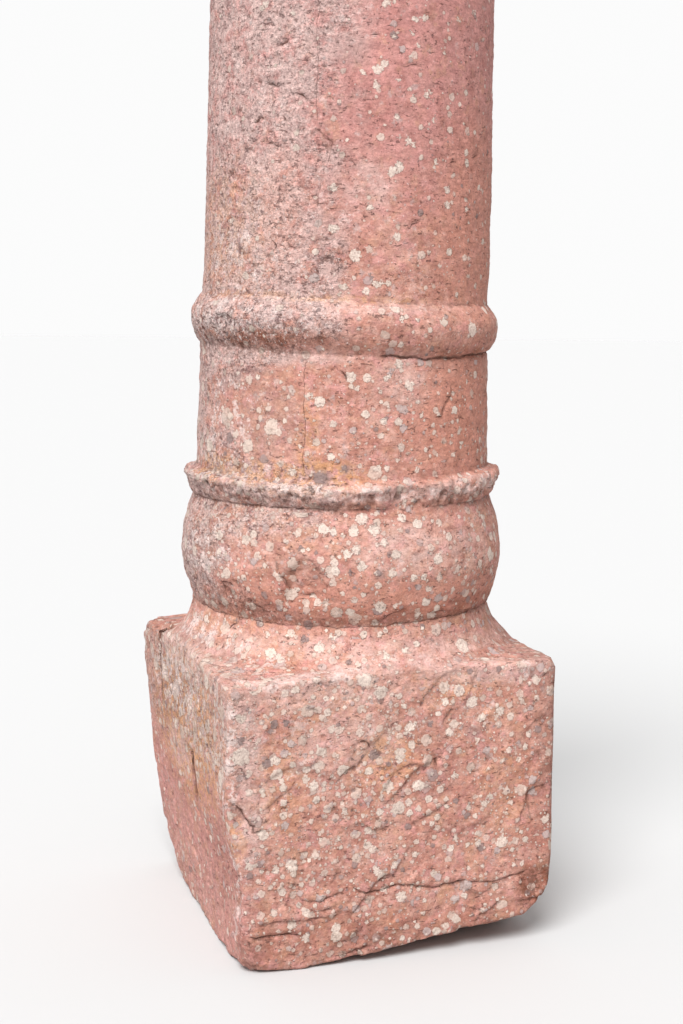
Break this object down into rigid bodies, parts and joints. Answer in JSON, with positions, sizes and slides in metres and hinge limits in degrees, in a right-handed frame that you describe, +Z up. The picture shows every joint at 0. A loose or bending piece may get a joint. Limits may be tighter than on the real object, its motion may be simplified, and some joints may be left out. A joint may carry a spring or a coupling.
{
  "type": "stone column",
  "caption": "Weathered red sandstone column foot: shaft, roll, drum, thin annulet, torus and flare on a rough square plinth, all carved from one block.",
  "frame": {"origin": "centre of the flat underside of the plinth, on the column's axis", "axes": "+Z up the column's axis, -Y out of the plinth's front face, +X to the front face's right"},
  "size_m": [0.512, 0.5215, 1.6],
  "materials": {
    "stone": "rough weathered red sandstone with lichen"
  },
  "bodies": {
    "root": {"column": "stone"}
  },
  "joints": []
}
